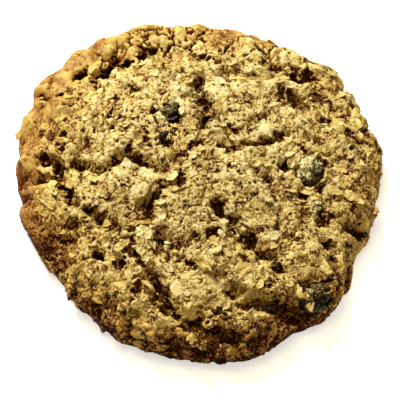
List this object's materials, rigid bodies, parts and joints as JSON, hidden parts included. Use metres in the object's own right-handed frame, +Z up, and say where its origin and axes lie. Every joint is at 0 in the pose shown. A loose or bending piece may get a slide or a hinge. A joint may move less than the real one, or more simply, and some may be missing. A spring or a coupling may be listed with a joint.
{
  "type": "oatmeal raisin cookie",
  "caption": "Round, thick, rough-topped baked cookie of oat dough with raisins set in its top, lying on its flat base.",
  "frame": {"origin": "middle of the flat base, at the bottom centre of the bounding box", "axes": "+Z up through the thickness; +X and +Y lie in the base, with -Y towards the side the viewer sees"},
  "size_m": [0.1025, 0.1055, 0.0166],
  "materials": {
    "dough": "baked oat dough, golden tan, matt and rough, with pale oat flakes",
    "raisin": "dried raisin skin, near black, wrinkled, dusted with crumbs"
  },
  "bodies": {
    "root": {"cookie": "dough", "raisin_1": "raisin", "raisin_2": "raisin", "raisin_3": "raisin", "raisin_4": "raisin", "raisin_5": "raisin", "raisin_6": "raisin"}
  },
  "joints": []
}
